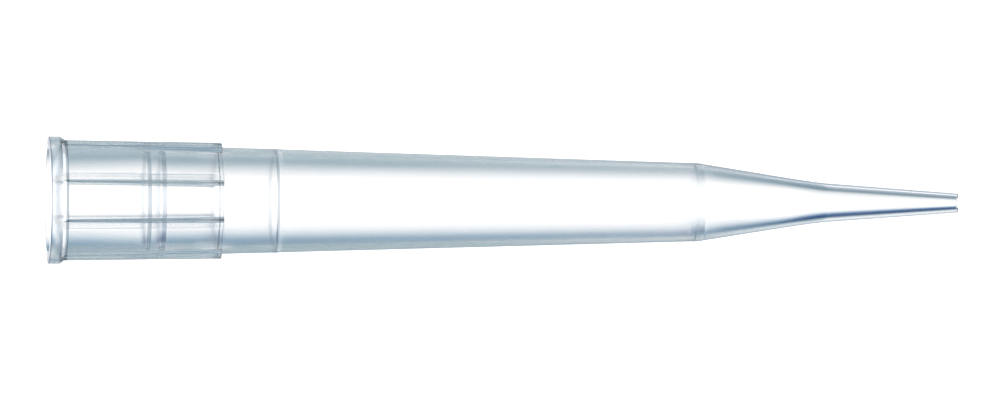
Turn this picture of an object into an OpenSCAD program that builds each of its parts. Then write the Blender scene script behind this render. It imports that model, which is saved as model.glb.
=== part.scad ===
// Pipette tip for air-displacement micropipettes, 200 microlitre class.
// One injection moulding in clear polypropylene. Millimetres, +Z up.
// The tip stands on its wide end: the mouth rim lies on z = 0 and the axis is +Z,
// with the fine end at the top.

/* [Overall] */
// Length from the mouth rim to the fine end
total_length = 51; // [50:0.5:54]

/* [Flange] */
// Outside diameter of the rim flange
flange_diameter = 7.08; // [7.08:0.02:7.5]
// Height of the flange's cylindrical edge
flange_height = 0.66; // [0.5:0.02:1.0]
// Height of the cone behind the flange, where it drops to the hub
flange_back = 0.27; // [0.15:0.01:0.4]
// Bevel on the rim's outer edge
rim_bevel = 0.03; // [0.02:0.01:0.12]

/* [Hub] */
// Height at which the hub and its ribs end in a step
hub_height = 9.57; // [8.6:0.01:11]
// Hub outside diameter between the ribs, just behind the flange
hub_diameter_low = 6.68; // [6.6:0.01:6.75]
// Hub outside diameter between the ribs, at the step
hub_diameter_high = 6.08; // [6.0:0.01:6.15]

/* [Ribs] */
// Number of ribs around the hub
rib_count = 8; // [6:1:10]
// Diameter over the ribs at the flange
rib_diameter_low = 7.06; // [6.9:0.02:7.06]
// Diameter over the ribs at the step
rib_diameter_high = 6.82; // [6.6:0.01:6.9]
// Width of each rib along its top, at the step
rib_width = 0.40; // [0.34:0.01:0.5]
// Slope of the rib sides away from the rib's own centre plane, in degrees
rib_side_angle = 9; // [4:1:16]
// Draft of the rib sides: each rib widens this many degrees towards the mouth
rib_draft = 0.2; // [0.1:0.1:0.8]

/* [Mouth bore] */
// Bore diameter at the mouth
mouth_diameter = 5.76; // [5.72:0.01:5.85]
// Height where the sealing land begins
land_height = 5.58; // [4.5:0.02:6]
// Bore diameter just before the sealing land
cone_diameter = 5.68; // [5.66:0.01:5.70]
// Diameter of the sealing land
land_diameter = 5.57; // [5.54:0.01:5.60]
// Length of the sealing land
land_length = 0.47; // [0.3:0.01:1.0]
// Height of the cone that leads into the land
land_lead = 0.24; // [0.1:0.01:0.4]
// Height of the cone past the land
land_exit = 0.37; // [0.1:0.01:0.5]
// Bore diameter just past the sealing land
neck_diameter = 5.44; // [5.42:0.01:5.48]
// Bore diameter where the hub's inner wall ends in a small shoulder
shoulder_diameter = 5.27; // [5.25:0.01:5.29]
// Height of that shoulder
shoulder_height = 9.33; // [8.8:0.01:9.5]
// How much the bore narrows at the shoulder
shoulder_drop = 0.05; // [0.01:0.01:0.08]

/* [Body] */
// Body outside diameter just above the hub
body_diameter_low = 5.93; // [5.88:0.01:5.98]
// Height of the fill ring on the body
ring_height = 12.54; // [11.5:0.02:14]
// Body outside diameter just below the fill ring
ring_diameter = 5.77; // [5.75:0.01:5.79]
// How far the fill ring stands proud of the body
ring_proud = 0.014; // [0.005:0.001:0.03]
// Drop in diameter from below the fill ring to above it
ring_drop = 0.034; // [0.02:0.002:0.05]
// Height where the body's gentle taper ends
body_height = 36.06; // [35:0.02:37]
// Body outside diameter at that height
body_diameter_high = 4.38; // [4.3:0.01:4.46]
// Height of the raised band there
band_height = 0.60; // [0.4:0.02:0.8]
// How far the band stands proud of the body at its lower edge
band_proud = 0.009; // [0.005:0.001:0.03]
// Outside diameter at the band's upper edge, where the steep taper starts
band_diameter_high = 4.27; // [4.2:0.01:4.3]

/* [Taper and fine end] */
// Height where the steep taper starts to ease
taper_height = 40.95; // [40.5:0.05:41.5]
// Outside diameter at that height
taper_diameter = 2.90; // [2.84:0.01:2.96]
// Height where the fine end's own taper begins
fine_height = 43.7; // [43.4:0.05:44.2]
// Outside diameter at that height
fine_diameter = 2.15; // [2.1:0.01:2.22]
// Outside diameter at the very end
end_diameter = 1.07; // [1.0:0.01:1.16]

/* [Inner passage] */
// Bore diameter where the body's gentle taper ends
passage_diameter_high = 3.98; // [3.9:0.01:4.02]
// Bore diameter where the steep inner taper starts to ease
passage_taper_diameter = 2.57; // [2.5:0.01:2.62]
// Bore diameter where the fine end's own taper begins
passage_fine_diameter = 1.86; // [1.8:0.01:1.9]
// Diameter of the opening at the fine end
orifice_diameter = 0.81; // [0.7:0.01:0.86]

/* [Hidden] */
$fn = 96;

flange_r = flange_diameter / 2;
body_r0 = body_diameter_low / 2;
ring_r = ring_diameter / 2;
band_r1 = band_diameter_high / 2;
taper_z0 = body_height + band_height;
land_z1 = land_height + land_length;

// point on a quadratic blend from a to b whose end directions meet at c
function blend(a, c, b, t) =
    (1 - t) * (1 - t) * a + 2 * t * (1 - t) * c + t * t * b;

// point where a run through a with slope sa (radius lost per height) meets one
// through b with slope sb; points are [radius, height]
function meet(a, sa, b, sb) =
    let (z = (a[0] - b[0] + sa * a[1] - sb * b[1]) / (sa - sb))
    [a[0] - sa * (z - a[1]), z];

outer_a = [taper_diameter / 2, taper_height];
outer_b = [fine_diameter / 2, fine_height];
outer_c = meet(outer_a, (band_r1 - taper_diameter / 2) / (taper_height - taper_z0),
               outer_b, (fine_diameter - end_diameter) / 2 / (total_length - fine_height));

inner_a = [passage_taper_diameter / 2, taper_height];
inner_b = [passage_fine_diameter / 2, fine_height - 0.1];
inner_c = meet(inner_a, (passage_diameter_high - passage_taper_diameter) / 2 / (taper_height - body_height),
               inner_b, (passage_fine_diameter - orifice_diameter) / 2 / (total_length - inner_b[1]));

outer_profile = concat(
    [[0, 0],
     [flange_r - rim_bevel, 0],
     [flange_r, rim_bevel],
     [flange_r, flange_height],
     [hub_diameter_low / 2, flange_height + flange_back],
     [hub_diameter_high / 2, hub_height],
     [body_r0, hub_height],
     [ring_r, ring_height],
     [ring_r + ring_proud, ring_height + 0.07],
     [ring_r + ring_proud - 0.002, ring_height + 0.12],
     [ring_r - ring_drop / 2, ring_height + 0.41],
     [body_diameter_high / 2, body_height],
     [body_diameter_high / 2 + band_proud, body_height + 0.07],
     [band_r1 + 0.029, taper_z0 - 0.10],
     [band_r1, taper_z0]],
    [for (t = [0 : 0.25 : 1]) blend(outer_a, outer_c, outer_b, t)],
    [[end_diameter / 2, total_length],
     [0, total_length]]);

passage_profile = concat(
    [[0, -1],
     [mouth_diameter / 2, -1],
     [mouth_diameter / 2, 0],
     [cone_diameter / 2, land_height - land_lead],
     [land_diameter / 2, land_height],
     [land_diameter / 2, land_z1],
     [neck_diameter / 2, land_z1 + land_exit],
     [shoulder_diameter / 2, shoulder_height],
     [(shoulder_diameter - shoulder_drop) / 2, shoulder_height + 0.05],
     [passage_diameter_high / 2, body_height]],
    [for (t = [0 : 0.25 : 1]) blend(inner_a, inner_c, inner_b, t)],
    [[orifice_diameter / 2, total_length],
     [orifice_diameter / 2, total_length + 1],
     [0, total_length + 1]]);

// envelope of the rib tops: leaves the flange at its edge and ends square
rib_envelope = [
    [0, flange_height / 2],
    [rib_diameter_low / 2, flange_height / 2],
    [rib_diameter_low / 2, flange_height],
    [rib_diameter_high / 2, hub_height],
    [0, hub_height]];

// one side of a rib in its own frame (X radial, Y across): everything below a
// plane through the rib's top edge at the step, sloped and drafted
module rib_side() {
    translate([rib_diameter_high / 2, rib_width / 2, hub_height])
        rotate([atan(tan(rib_draft) * cos(rib_side_angle)), 0, -rib_side_angle])
            translate([-1.5, -2, -hub_height - 1])
                cube([3, 2, hub_height + 2]);
}

module rib_block() {
    intersection() {
        rib_side();
        mirror([0, 1, 0]) rib_side();
        translate([(land_diameter / 2 + body_r0) / 2, -1, flange_height / 2])
            cube([2, 2, hub_height]);
    }
}

module ribs() {
    intersection() {
        rotate_extrude() polygon(rib_envelope);
        union()
            for (i = [0 : rib_count - 1])
                rotate([0, 0, (i + 0.5) * 360 / rib_count])
                    rib_block();
    }
}

module tip() {
    color([0.90, 0.93, 0.95, 0.35])
        difference() {
            union() {
                rotate_extrude() polygon(outer_profile);
                ribs();
            }
            rotate_extrude() polygon(passage_profile);
        }
}

tip();
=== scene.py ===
import math

import bpy
import numpy as np
from mathutils import Matrix, Vector


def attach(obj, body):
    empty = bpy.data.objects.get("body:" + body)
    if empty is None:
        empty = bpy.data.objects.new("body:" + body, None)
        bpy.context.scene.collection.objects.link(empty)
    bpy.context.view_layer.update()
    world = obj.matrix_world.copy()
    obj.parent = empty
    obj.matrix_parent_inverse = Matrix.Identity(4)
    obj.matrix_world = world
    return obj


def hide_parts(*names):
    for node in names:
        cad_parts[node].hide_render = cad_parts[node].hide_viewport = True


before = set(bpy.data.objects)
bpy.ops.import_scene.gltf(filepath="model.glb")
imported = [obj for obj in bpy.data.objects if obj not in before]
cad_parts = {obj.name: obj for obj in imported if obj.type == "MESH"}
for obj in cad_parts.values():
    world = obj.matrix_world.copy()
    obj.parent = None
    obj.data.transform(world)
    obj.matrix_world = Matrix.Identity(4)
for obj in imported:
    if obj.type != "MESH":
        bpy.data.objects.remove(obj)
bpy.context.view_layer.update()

MM = 0.001
PERIODS = 8  # ribs round the hub
HALF = (7, 4, 3, 4, 4)  # segments: valley arc, root fillet, side, corner fillet, top
N = 2 * sum(HALF) * PERIODS  # vertices round every row
RIB0 = math.radians(22.5)  # azimuth of the first rib's centre plane


# ---------------------------------------------------------------- profiles, mm
def lerp(a, b, t):
    return a + (b - a) * t


def bezier(a, c, b, n):
    pts = []
    for i in range(1, n):
        t = i / n
        u = 1 - t
        pts.append(
            (
                u * u * a[0] + 2 * t * u * c[0] + t * t * b[0],
                u * u * a[1] + 2 * t * u * c[1] + t * t * b[1],
            )
        )
    return pts


def meet(a, sa, b, sb):
    z = (a[0] - b[0] + sa * a[1] - sb * b[1]) / (sa - sb)
    return (a[0] - sa * (z - a[1]), z)


def run(a, b, n):
    """n - 1 points between a and b on a straight run."""
    return [(lerp(a[0], b[0], i / n), lerp(a[1], b[1], i / n)) for i in range(1, n)]


def rounded(pts, radii, segs=3):
    """The profile with its corners eased: radii[i] is how far the easing of
    corner i reaches along both runs (0 leaves it sharp)."""
    out = [pts[0]]
    for i in range(1, len(pts) - 1):
        d = radii.get(i, 0)
        p, q, r = (np.array(x, float) for x in pts[i - 1 : i + 2])
        if d <= 0:
            out.append(tuple(q))
            continue
        d1 = min(d, 0.45 * np.linalg.norm(q - p))
        d2 = min(d, 0.45 * np.linalg.norm(r - q))
        a = q + (p - q) / np.linalg.norm(p - q) * d1
        b = q + (r - q) / np.linalg.norm(r - q) * d2
        out.append(tuple(a))
        out += bezier(tuple(a), tuple(q), tuple(b), segs)
        out.append(tuple(b))
    out.append(pts[-1])
    return out


Z_END = 51.0
TAPER = (2.135, 36.66)  # where the steep taper starts
outer_a, outer_b = (1.448, 40.95), (1.075, 43.70)
outer_c = meet(
    outer_a,
    (TAPER[0] - outer_a[0]) / (outer_a[1] - TAPER[1]),
    outer_b,
    (outer_b[0] - 0.535) / (Z_END - outer_b[1]),
)
bore_top = (1.989, 36.10)
inner_a, inner_b = (1.285, 40.95), (0.935, 43.60)
inner_c = meet(
    inner_a,
    (bore_top[0] - inner_a[0]) / (inner_a[1] - bore_top[1]),
    inner_b,
    (inner_b[0] - 0.405) / (Z_END - inner_b[1]),
)

FLANGE_R = 3.534
FLANGE_Z, HUB_Z0, HUB_Z1 = 0.66, 0.93, 9.57

# flange, from the mouth's face outward, up to where the ribs begin
flange = rounded(
    [(3.51, 0.0), (FLANGE_R, 0.03), (FLANGE_R, FLANGE_Z)], {1: 0.01}, 2
)

# body above the hub's step
body = [(2.964, HUB_Z1)]
body += rounded(
    [
        (2.964, HUB_Z1),
        (2.886, 12.54),
        (2.900, 12.61),
        (2.898, 12.66),
        (2.8685, 12.95),
        (2.192, 36.06),
        (2.201, 36.13),
        (2.164, 36.56),
        TAPER,
        outer_a,
    ],
    {1: 0.01, 2: 0.01, 3: 0.01, 4: 0.01, 5: 0.012, 6: 0.012, 7: 0.012, 8: 0.012},
    2,
)[1:]
full = []
for a, b in zip(body, body[1:]):
    full.append(a)
    if b[1] - a[1] > 2.0:
        full += run(a, b, max(2, int((b[1] - a[1]) / 1.0)))
full.append(body[-1])
body = full
body += bezier(outer_a, outer_c, outer_b, 16) + [outer_b]
body += run(outer_b, (0.536, Z_END - 0.02), 10)
body += [(0.536, Z_END - 0.02), (0.520, Z_END)]

# passage, from the mouth up
bore = [
    (2.880, 0.0),
    (2.838, 5.34),
    (2.785, 5.58),
    (2.785, 6.05),
    (2.722, 6.42),
    (2.637, 9.33),
    (2.612, 9.38),
    bore_top,
    inner_a,
]
bore = rounded(bore, {1: 0.03, 2: 0.03, 3: 0.03, 4: 0.03, 5: 0.015, 6: 0.015, 7: 0.05}, 2)
full = []
for a, b in zip(bore, bore[1:]):
    full.append(a)
    if b[1] - a[1] > 2.0:
        full += run(a, b, max(2, int((b[1] - a[1]) / 1.0)))
full.append(bore[-1])
bore = [(2.90, 0.0), (2.8798, 0.02)] + full[1:]
bore += bezier(inner_a, inner_c, inner_b, 16) + [inner_b]
bore += run(inner_b, (0.405, Z_END), 10) + [(0.405, Z_END - 0.01), (0.41, Z_END)]


# ------------------------------------------------------- ribbed hub's sections
def hub_valley(z):
    return lerp(3.342, 3.040, (z - HUB_Z0) / (HUB_Z1 - HUB_Z0))


def rib_top(z):
    return lerp(3.535, 3.41, (z - FLANGE_Z) / (HUB_Z1 - FLANGE_Z))


def section(z, rv, rt, inset=0.0):
    """The closed outline at height z as N points (x, y): valley radius rv, rib top
    radius rt. inset shrinks the ribs, for the eased edge at the step."""
    w = lerp(0.225, 0.200, (z - FLANGE_Z) / (HUB_Z1 - FLANGE_Z)) - inset
    slope = math.tan(math.radians(lerp(5.0, 13.0, (z - FLANGE_Z) / (HUB_Z1 - FLANGE_Z))))
    corner = lerp(0.09, 0.05, (z - FLANGE_Z) / (HUB_Z1 - FLANGE_Z))
    root = 0.04
    rt = max(rt - inset, rv + 1e-4)
    h = rt - rv
    k = min(1.0, h / 0.16)
    corner, root = corner * k, root * k

    top = np.array([math.sqrt(rt * rt - w * w), w])
    # foot of the side on the valley's circle: x = top.x - t, y = w + t * slope
    lo, hi = 0.0, 1.5
    for _ in range(50):
        t = (lo + hi) / 2
        if (top[0] - t) ** 2 + (w + t * slope) ** 2 > rv * rv:
            lo = t
        else:
            hi = t
    foot = np.array([top[0] - lo, w + lo * slope])
    side = foot - top
    length = np.linalg.norm(side)
    side = side / max(length, 1e-9)
    corner = min(corner, 0.25 * length)
    climb = min(root, 0.7 * length)  # how far the root's fillet climbs the side
    f_ang, t_ang = math.atan2(foot[1], foot[0]), math.atan2(top[1], top[0])

    def ring(r, a):
        return np.array([r * math.cos(a), r * math.sin(a)])

    nv, nr, ns, nc, nt = HALF
    v_end = f_ang + root / rv
    t_end = t_ang - corner / rt
    pts = [ring(rt, t_end * i / nt) for i in range(nt)]
    a, c, b = ring(rt, t_end), top, top + side * corner
    pts += [
        (1 - t) ** 2 * a + 2 * t * (1 - t) * c + t * t * b
        for t in (i / nc for i in range(nc))
    ]
    a2 = foot - side * climb
    pts += [lerp(b, a2, i / ns) for i in range(ns)]
    b2 = ring(rv, v_end)
    pts += [
        (1 - t) ** 2 * a2 + 2 * t * (1 - t) * foot + t * t * b2
        for t in (i / nr for i in range(nr))
    ]
    half = math.pi / PERIODS
    pts += [ring(rv, lerp(v_end, half, i / nv)) for i in range(nv)]
    first = np.array(pts)  # from the rib's centre to just before the valley's centre
    mirror = np.concatenate([[ring(rv, half)], first[:0:-1] * [1, -1]])
    # the mirrored half belongs to the next rib: turn it by one period
    ca, sa = math.cos(2 * half), math.sin(2 * half)
    second = mirror.copy()
    second[1:] = mirror[1:] @ np.array([[ca, sa], [-sa, ca]])
    one = np.concatenate([first, second])
    out = []
    for p in range(PERIODS):
        a = RIB0 + p * 2 * half
        ca, sa = math.cos(a), math.sin(a)
        out.append(one @ np.array([[ca, sa], [-sa, ca]]))
    return np.concatenate(out)


UNIFORM = RIB0 + np.arange(N) * 2 * math.pi / N


def circle(r, z, ang=UNIFORM):
    return np.stack([r * np.cos(ang), r * np.sin(ang), np.full(N, z)], 1)


def with_z(xy, z):
    return np.concatenate([xy, np.full((N, 1), z)], 1)


def angles(xy):
    return np.arctan2(xy[:, 1], xy[:, 0])


rows = []
start = angles(section(FLANGE_Z, 3.515, 3.535))
for r, z in flange:
    rows.append(circle(r, z, start))
# cone behind the flange, where the ribs emerge
for i in range(1, 9):
    t = i / 8
    z = lerp(FLANGE_Z, HUB_Z0, t)
    rv = lerp(FLANGE_R, hub_valley(HUB_Z0), t)
    if rv >= rib_top(z) - 1e-3:
        rows.append(circle(rv, z, start))
    else:
        rows.append(with_z(section(z, rv, rib_top(z)), z))
z = HUB_Z0 + 0.04
rows.append(with_z(section(z, hub_valley(z), rib_top(z)), z))
for i in range(1, 14):
    z = lerp(HUB_Z0 + 0.04, HUB_Z1 - 0.05, i / 13)
    rows.append(with_z(section(z, hub_valley(z), rib_top(z)), z))
z = HUB_Z1 - 0.010
rows.append(with_z(section(z, hub_valley(z), rib_top(z), 0.003), z))
rows.append(with_z(section(HUB_Z1, hub_valley(HUB_Z1) - 0.012, rib_top(HUB_Z1), 0.015), HUB_Z1))
for r, z in body:
    rows.append(circle(r, z))
n_outer = len(rows)
for r, z in reversed(bore):
    rows.append(circle(r, z))
grid = np.array(rows) * MM  # the last row joins the first across the mouth's face
n_rows = len(rows)


def build_mesh(name, grid):
    nr, nc = grid.shape[:2]
    i = np.arange(nr)[:, None]
    j = np.arange(nc)[None, :]
    a = i * nc + j
    b = i * nc + (j + 1) % nc
    c = ((i + 1) % nr) * nc + (j + 1) % nc
    d = ((i + 1) % nr) * nc + j
    faces = np.stack([a, b, c, d], -1).reshape(-1, 4)
    me = bpy.data.meshes.new(name)
    me.vertices.add(nr * nc)
    me.vertices.foreach_set("co", grid.reshape(-1).astype(np.float32))
    me.loops.add(faces.size)
    me.loops.foreach_set("vertex_index", faces.reshape(-1).astype(np.int32))
    me.polygons.add(len(faces))
    me.polygons.foreach_set("loop_start", (np.arange(len(faces)) * 4).astype(np.int32))
    me.update(calc_edges=True)
    me.validate()
    return me


me = build_mesh("tip_surface", grid)
me.polygons.foreach_set("use_smooth", np.ones(len(me.polygons), bool))
me.set_sharp_from_angle(angle=math.radians(24))
tip = bpy.data.objects.new("pipette_tip", me)
bpy.context.scene.collection.objects.link(tip)


# -------------------------------------------------------------------- material
def clear_polypropylene(name, outside, bore, bump):
    """One clear plastic. outside and bore each hold the roughness in the socket, on
    the body and at the fine end, and bands of painted shade at the edges and steps as
    (height from, height to, tint); the mesh's "bore" value tells the two surfaces apart."""
    m = bpy.data.materials.new(name)
    m.use_nodes = True
    nt = m.node_tree
    for n in list(nt.nodes):
        nt.nodes.remove(n)
    out = nt.nodes.new("ShaderNodeOutputMaterial")
    bsdf = nt.nodes.new("ShaderNodeBsdfPrincipled")
    bsdf.inputs["Transmission Weight"].default_value = 1.0
    bsdf.inputs["IOR"].default_value = 1.49
    nt.links.new(bsdf.outputs[0], out.inputs["Surface"])

    tc = nt.nodes.new("ShaderNodeTexCoord")
    # flow of the melt: marks stretched along the axis
    stretch = nt.nodes.new("ShaderNodeMapping")
    stretch.inputs["Scale"].default_value = (1.0, 1.0, 0.12)
    nt.links.new(tc.outputs["Object"], stretch.inputs["Vector"])
    flow = nt.nodes.new("ShaderNodeTexNoise")
    flow.inputs["Scale"].default_value = 900.0
    flow.inputs["Detail"].default_value = 3.0
    nt.links.new(stretch.outputs[0], flow.inputs["Vector"])
    grain = nt.nodes.new("ShaderNodeTexNoise")
    grain.inputs["Scale"].default_value = 5200.0
    grain.inputs["Detail"].default_value = 2.0
    nt.links.new(tc.outputs["Object"], grain.inputs["Vector"])

    tint = nt.nodes.new("ShaderNodeValToRGB")
    tint.color_ramp.elements[0].position = 0.3
    tint.color_ramp.elements[0].color = (0.975, 0.985, 0.992, 1)
    tint.color_ramp.elements[1].position = 0.7
    tint.color_ramp.elements[1].color = (0.985, 0.992, 1.0, 1)
    nt.links.new(flow.outputs["Fac"], tint.inputs["Fac"])
    split = nt.nodes.new("ShaderNodeSeparateXYZ")
    nt.links.new(tc.outputs["Object"], split.inputs[0])
    height = nt.nodes.new("ShaderNodeMath")
    height.operation = "MULTIPLY"
    height.inputs[1].default_value = 1000 / 51
    nt.links.new(split.outputs["Z"], height.inputs[0])
    surface = nt.nodes.new("ShaderNodeAttribute")
    surface.attribute_name = "bore"

    def by_height(stops):
        n = nt.nodes.new("ShaderNodeValToRGB")
        cr = n.color_ramp
        while len(cr.elements) > 1:
            cr.elements.remove(cr.elements[-1])
        for k, (z, c) in enumerate(stops):
            e = cr.elements[0] if k == 0 else cr.elements.new(z / 51)
            e.position = z / 51
            e.color = (*c, 1)
        nt.links.new(height.outputs[0], n.inputs["Fac"])
        return n.outputs["Color"]

    def blend(kind, fac, a, b):
        n = nt.nodes.new("ShaderNodeMix")
        n.data_type = "RGBA"
        n.blend_type = kind
        if isinstance(fac, float):
            n.inputs["Factor"].default_value = fac
        else:
            nt.links.new(fac, n.inputs["Factor"])
        rgba = [i for i in n.inputs if i.type == "RGBA"]
        nt.links.new(a, rgba[0])
        nt.links.new(b, rgba[1])
        return [o for o in n.outputs if o.type == "RGBA"][0]

    away = nt.nodes.new("ShaderNodeMath")  # 1 on the outside, 0 in the bore
    away.operation = "SUBTRACT"
    away.inputs[0].default_value = 1.0
    nt.links.new(surface.outputs["Fac"], away.inputs[1])
    finishes, tone_and_painted_shade = [], tint.outputs["Color"]
    sides = ((away.outputs[0], outside), (surface.outputs["Fac"], bore))
    for here, (rough_socket, rough_body, rough_fine, painted_shade_bands) in sides:
        # the socket and the fine end are finished differently from the body
        stops = [(0.0, rough_socket), (9.30, rough_socket), (9.40, rough_body)]
        stops += [(36.5, rough_body), (43.5, rough_fine), (51.0, rough_fine)]
        finishes.append(by_height([(z, (v, v, v)) for z, v in stops]))
        # painted shade: the base colour is darkened in bands at the listed heights, where edges and
        # steps look dark through the plastic
        for z0, z1, c in painted_shade_bands:
            band = nt.nodes.new("ShaderNodeMath")
            band.operation = "COMPARE"
            band.inputs[1].default_value = (z0 + z1) / 2 / 51
            band.inputs[2].default_value = (z1 - z0) / 2 / 51
            nt.links.new(height.outputs[0], band.inputs[0])
            both = nt.nodes.new("ShaderNodeMath")
            both.operation = "MULTIPLY"
            nt.links.new(band.outputs[0], both.inputs[0])
            nt.links.new(here, both.inputs[1])
            colour = nt.nodes.new("ShaderNodeRGB")
            colour.outputs[0].default_value = (*c, 1)
            tone_and_painted_shade = blend("MULTIPLY", both.outputs[0], tone_and_painted_shade, colour.outputs[0])
    painted_flank_shade = nt.nodes.new("ShaderNodeAttribute")  # painted shade on the ribs' sides, darkened in colour only
    painted_flank_shade.attribute_name = "painted_flank_shade"
    colour = nt.nodes.new("ShaderNodeRGB")
    colour.outputs[0].default_value = (0.78, 0.85, 0.88, 1)
    tone_and_painted_shade = blend("MULTIPLY", painted_flank_shade.outputs["Fac"], tone_and_painted_shade, colour.outputs[0])
    finish = blend("MIX", surface.outputs["Fac"], *finishes)
    nt.links.new(tone_and_painted_shade, bsdf.inputs["Base Color"])

    rough = nt.nodes.new("ShaderNodeMapRange")
    rough.inputs["From Min"].default_value = 0.3
    rough.inputs["From Max"].default_value = 0.7
    rough.inputs["To Min"].default_value = -0.02
    rough.inputs["To Max"].default_value = 0.02
    nt.links.new(flow.outputs["Fac"], rough.inputs["Value"])
    total = nt.nodes.new("ShaderNodeMath")
    total.operation = "ADD"
    nt.links.new(finish, total.inputs[0])
    nt.links.new(rough.outputs[0], total.inputs[1])
    nt.links.new(total.outputs[0], bsdf.inputs["Roughness"])

    add = nt.nodes.new("ShaderNodeMath")
    add.operation = "MULTIPLY_ADD"
    add.inputs[1].default_value = 0.15
    nt.links.new(grain.outputs["Fac"], add.inputs[0])
    nt.links.new(flow.outputs["Fac"], add.inputs[2])
    b = nt.nodes.new("ShaderNodeBump")
    b.inputs["Strength"].default_value = 1.0
    b.inputs["Distance"].default_value = bump
    nt.links.new(add.outputs[0], b.inputs["Height"])
    nt.links.new(b.outputs[0], bsdf.inputs["Normal"])

    vol = nt.nodes.new("ShaderNodeVolumeAbsorption")
    vol.inputs["Color"].default_value = (0.55, 0.80, 0.92, 1)
    vol.inputs["Density"].default_value = 8.0
    nt.links.new(vol.outputs[0], out.inputs["Volume"])
    return m


me.materials.append(
    clear_polypropylene(
        "clear_polypropylene",
        # outside: roughness, then bands of painted shade along its edges and steps
        (0.07, 0.10, 0.04, [
            (-0.01, 0.07, (0.24, 0.30, 0.40)),  # the rim's face and edge
            (0.82, 0.98, (0.22, 0.26, 0.30)),  # foot of the flange
            (9.51, 9.57, (0.60, 0.64, 0.68)),  # end of the hub
            (12.55, 12.70, (0.46, 0.52, 0.58)),  # fill ring
            (36.10, 36.56, (0.94, 0.96, 0.97)),  # band
        ]),
        # bore: roughness, then bands of painted shade at the bore's steps
        (0.17, 0.17, 0.05, [
            (5.36, 5.58, (0.57, 0.62, 0.67)),  # cones at the sealing land's ends
            (6.18, 6.42, (0.52, 0.57, 0.62)),
            (9.32, 9.40, (0.45, 0.50, 0.55)),  # end of the core pin's larger part
        ]),
        0.00000035,
    )
)
rows_of = np.arange(len(me.polygons)) // N
in_bore = (rows_of >= n_outer) & (rows_of < n_rows - 1)
me.attributes.new("bore", "FLOAT", "FACE").data.foreach_set("value", in_bore.astype(np.float32))
middle = np.zeros(len(me.polygons) * 3, np.float32)
normal = np.zeros(len(me.polygons) * 3, np.float32)
me.polygons.foreach_get("center", middle)
me.polygons.foreach_get("normal", normal)
middle, normal = middle.reshape(-1, 3), normal.reshape(-1, 3)
out_xy = middle[:, :2] / np.linalg.norm(middle[:, :2], axis=1, keepdims=True)
facing = np.abs((normal[:, :2] * out_xy).sum(1))
on_hub = (middle[:, 2] > HUB_Z0 * MM) & (middle[:, 2] < (HUB_Z1 - 0.02) * MM) & ~in_bore
# the ribs' side faces, which carry the painted shade
on_side = on_hub & (facing < 0.6) & (np.abs(normal[:, 2]) < 0.5)
me.attributes.new("painted_flank_shade", "FLOAT", "FACE").data.foreach_set("value", on_side.astype(np.float32))

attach(tip, "root")
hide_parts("tip")


# ----------------------------------------------------------------- floor
def disc(name, radius, z, n=96):
    m = bpy.data.meshes.new(name)
    verts = [(0, 0, z)] + [
        (radius * math.cos(2 * math.pi * i / n), radius * math.sin(2 * math.pi * i / n), z)
        for i in range(n)
    ]
    m.from_pydata(verts, [], [(0, 1 + i, 1 + (i + 1) % n) for i in range(n)])
    o = bpy.data.objects.new(name, m)
    bpy.context.scene.collection.objects.link(o)
    return o


floor = disc("floor", 4.0, -0.00002)
fm = bpy.data.materials.new("pale_floor")
fm.use_nodes = True
nt = fm.node_tree
for n in list(nt.nodes):
    nt.nodes.remove(n)
out = nt.nodes.new("ShaderNodeOutputMaterial")
mix = nt.nodes.new("ShaderNodeMixShader")
top = nt.nodes.new("ShaderNodeBsdfPrincipled")
top.inputs["Base Color"].default_value = (0.86, 0.88, 0.90, 1)
top.inputs["Roughness"].default_value = 0.12
top.inputs["IOR"].default_value = 1.8
# a light table: lit from below, most of all in a narrow oval under the tip
top.inputs["Emission Color"].default_value = (1.0, 1.0, 1.0, 1)
place = nt.nodes.new("ShaderNodeTexCoord")
squeeze = nt.nodes.new("ShaderNodeMapping")
squeeze.inputs["Scale"].default_value = (4.0, 1.0, 1.0)
nt.links.new(place.outputs["Object"], squeeze.inputs["Vector"])
reach = nt.nodes.new("ShaderNodeVectorMath")
reach.operation = "LENGTH"
nt.links.new(squeeze.outputs[0], reach.inputs[0])
glow = nt.nodes.new("ShaderNodeMapRange")
glow.interpolation_type = "SMOOTHSTEP"
glow.inputs["From Min"].default_value = 0.0085
glow.inputs["From Max"].default_value = 0.016
glow.inputs["To Min"].default_value = 0.80
glow.inputs["To Max"].default_value = 0.14
nt.links.new(reach.outputs["Value"], glow.inputs["Value"])
nt.links.new(glow.outputs[0], top.inputs["Emission Strength"])
clear = nt.nodes.new("ShaderNodeBsdfTransparent")
geo = nt.nodes.new("ShaderNodeNewGeometry")
nt.links.new(geo.outputs["Backfacing"], mix.inputs[0])
nt.links.new(top.outputs[0], mix.inputs[1])
nt.links.new(clear.outputs[0], mix.inputs[2])
nt.links.new(mix.outputs[0], out.inputs["Surface"])
floor.data.materials.append(fm)


# ----------------------------------------------------------------- studio light
GAIN = 2.0  # the tables hold linear colours up to this brightness
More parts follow.
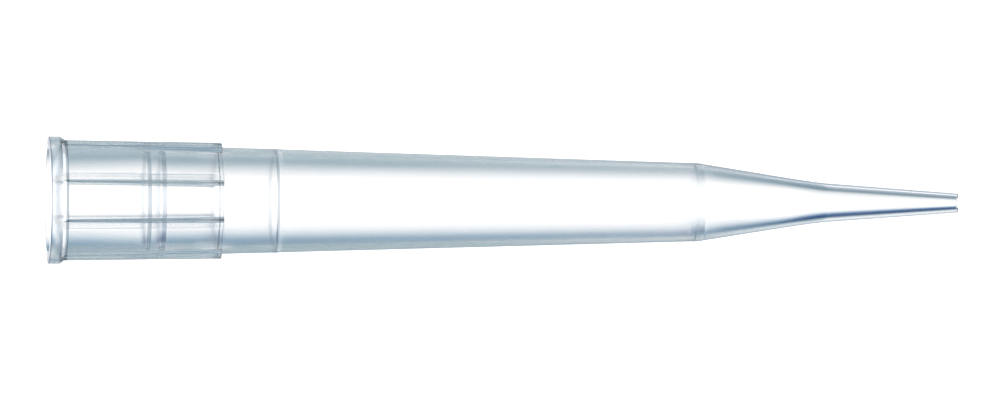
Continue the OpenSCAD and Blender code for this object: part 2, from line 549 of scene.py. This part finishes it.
# degrees off the backdrop's middle and the colour there: a bright narrow backdrop,
# a dark flag on each side of it, then pale side panels and a brighter room behind
LEFT = [  # towards -X
    (0, 1.60, 1.60, 1.60), (3, 1.22, 1.16, 1.12), (4.5, 0.84, 0.87, 0.90), (6, 0.50, 0.60, 0.65),
    (8, 0.30, 0.43, 0.49), (10.5, 0.21, 0.36, 0.42), (13.5, 0.33, 0.45, 0.51), (20, 0.68, 0.78, 0.82),
    (30, 0.70, 0.80, 0.83), (45, 0.24, 0.36, 0.40), (70, 0.06, 0.18, 0.25), (110, 0.50, 0.54, 0.57),
    (180, 0.58, 0.60, 0.66),
]
RIGHT = [
    (0, 1.60, 1.60, 1.60), (3, 1.22, 1.16, 1.12), (4.5, 1.30, 1.25, 1.22), (6, 0.97, 1.00, 1.03),
    (8, 0.48, 0.63, 0.72), (10.5, 0.13, 0.32, 0.46), (15, 0.03, 0.20, 0.38), (22, 0.38, 0.50, 0.56),
    (30, 0.56, 0.64, 0.63), (45, 0.18, 0.32, 0.38), (70, 0.03, 0.12, 0.22), (110, 0.40, 0.46, 0.52),
    (180, 0.58, 0.60, 0.66),
]
# the same a little higher up, where the flags give way to bright side panels
LEFT_HIGH = [
    (0, 1.60, 1.60, 1.60), (3, 1.00, 1.00, 1.00), (4.5, 0.80, 0.82, 0.82), (6, 0.38, 0.46, 0.50),
    (8, 0.20, 0.28, 0.34), (13.5, 0.32, 0.40, 0.46), (17, 0.40, 0.46, 0.54), (22, 0.26, 0.34, 0.46),
    (28, 0.26, 0.34, 0.46), (36, 0.80, 0.85, 0.90), (45, 1.20, 1.20, 1.20), (180, 1.10, 1.10, 1.10),
]
RIGHT_HIGH = [
    (0, 1.60, 1.60, 1.60), (4.5, 1.05, 1.05, 1.05), (6, 0.30, 0.45, 0.62), (8, 0.02, 0.08, 0.25),
    (13, 0.02, 0.06, 0.16), (17, 0.28, 0.36, 0.45), (22, 0.55, 0.62, 0.68), (30, 0.72, 0.80, 0.84),
    (45, 1.00, 1.00, 1.00), (180, 1.10, 1.10, 1.10),
]
# above and below all of these: dim over the sides, bright over the camera
OVERHEAD = [
    (0, 1.00, 1.00, 1.00), (10, 0.90, 0.92, 0.95), (25, 0.45, 0.52, 0.56), (70, 0.40, 0.50, 0.55),
    (115, 1.00, 1.00, 1.00), (180, 1.20, 1.20, 1.20),
]

world = bpy.data.worlds.new("studio")
bpy.context.scene.world = world
world.use_nodes = True
nt = world.node_tree
for n in list(nt.nodes):
    nt.nodes.remove(n)
out = nt.nodes.new("ShaderNodeOutputWorld")
bg = nt.nodes.new("ShaderNodeBackground")
bg.inputs["Strength"].default_value = GAIN
nt.links.new(bg.outputs[0], out.inputs["Surface"])
tc = nt.nodes.new("ShaderNodeTexCoord")
sep = nt.nodes.new("ShaderNodeSeparateXYZ")
nt.links.new(tc.outputs["Generated"], sep.inputs[0])


def math_node(op, a, b=None, clamp=False):
    n = nt.nodes.new("ShaderNodeMath")
    n.operation = op
    n.use_clamp = clamp
    for i, v in enumerate((a, b)):
        if v is None:
            continue
        if isinstance(v, (int, float)):
            n.inputs[i].default_value = v
        else:
            nt.links.new(v, n.inputs[i])
    return n.outputs[0]


azimuth = math_node("ARCTAN2", sep.outputs["X"], sep.outputs["Y"])
turn = math_node("SQRT", math_node("DIVIDE", math_node("ABSOLUTE", azimuth), math.pi))


def ramp(table):
    n = nt.nodes.new("ShaderNodeValToRGB")
    cr = n.color_ramp
    while len(cr.elements) > 1:
        cr.elements.remove(cr.elements[-1])
    for k, (deg, *rgb) in enumerate(table):
        p = math.sqrt(deg / 180)
        e = cr.elements[0] if k == 0 else cr.elements.new(p)
        e.position = p
        e.color = (*[c / GAIN for c in rgb], 1)
    nt.links.new(turn, n.inputs["Fac"])
    return n.outputs["Color"]


def mix_color(fac, a, b):
    n = nt.nodes.new("ShaderNodeMix")
    n.data_type = "RGBA"
    nt.links.new(fac, n.inputs["Factor"])
    for name, v in (("A", a), ("B", b)):
        s = [i for i in n.inputs if i.name == name and i.type == "RGBA"][0]
        if isinstance(v, tuple):
            s.default_value = v
        else:
            nt.links.new(v, s)
    return [o for o in n.outputs if o.type == "RGBA"][0]


side = math_node("GREATER_THAN", azimuth, 0.0)
elevation = math_node("ARCSINE", sep.outputs["Z"])
rise = nt.nodes.new("ShaderNodeMapRange")
rise.interpolation_type = "SMOOTHSTEP"
rise.inputs["From Min"].default_value = math.radians(7.2)
rise.inputs["From Max"].default_value = math.radians(8.1)
nt.links.new(elevation, rise.inputs["Value"])
low = mix_color(side, ramp(LEFT), ramp(RIGHT))
high = mix_color(side, ramp(LEFT_HIGH), ramp(RIGHT_HIGH))
fall = nt.nodes.new("ShaderNodeMapRange")
fall.interpolation_type = "SMOOTHSTEP"
fall.inputs["From Min"].default_value = math.radians(15.0)
fall.inputs["From Max"].default_value = math.radians(12.0)
nt.links.new(elevation, fall.inputs["Value"])
around = mix_color(math_node("MULTIPLY", rise.outputs[0], fall.outputs[0]), low, high)
off = math_node("ABSOLUTE", math_node("SUBTRACT", elevation, math.radians(6)))
fade = nt.nodes.new("ShaderNodeMapRange")
fade.interpolation_type = "SMOOTHSTEP"
fade.inputs["From Min"].default_value = math.radians(18)
fade.inputs["From Max"].default_value = math.radians(30)
nt.links.new(off, fade.inputs["Value"])
sky = mix_color(fade.outputs[0], around, ramp(OVERHEAD))
nt.links.new(sky, bg.inputs["Color"])

# ----------------------------------------------------------------- camera
D = 0.5576
TILT = math.radians(6.1)
AIM = Vector((0, 0, 0.02523))
cam_data = bpy.data.cameras.new("camera")
cam_data.lens = 360.0
cam_data.sensor_width = 36.0
cam_data.sensor_fit = "HORIZONTAL"
cam_data.clip_start, cam_data.clip_end = 0.01, 20.0
cam = bpy.data.objects.new("camera", cam_data)
bpy.context.scene.collection.objects.link(cam)
turn_z = math.radians(0.75)
back = Vector((-math.sin(turn_z) * math.cos(TILT), -math.cos(turn_z) * math.cos(TILT), -math.sin(TILT)))
forward = -back
right = Vector((0, 0, 1))
right = (right - forward * right.dot(forward)).normalized()
up = right.cross(forward)
roll = math.radians(0.19)
r2 = right * math.cos(roll) + up * math.sin(roll)
u2 = up * math.cos(roll) - right * math.sin(roll)
cam.location = AIM + back * D + u2 * 0.000088
cam.matrix_world = Matrix(
    (
        (r2.x, u2.x, back.x, cam.location.x),
        (r2.y, u2.y, back.y, cam.location.y),
        (r2.z, u2.z, back.z, cam.location.z),
        (0, 0, 0, 1),
    )
)
bpy.context.scene.camera = cam

scene = bpy.context.scene
scene.view_settings.view_transform = "Standard"
scene.view_settings.look = "None"
if hasattr(scene, "cycles"):
    scene.cycles.max_bounces = 24
    scene.cycles.glossy_bounces = 12
    scene.cycles.transmission_bounces = 24
    scene.cycles.transparent_max_bounces = 16
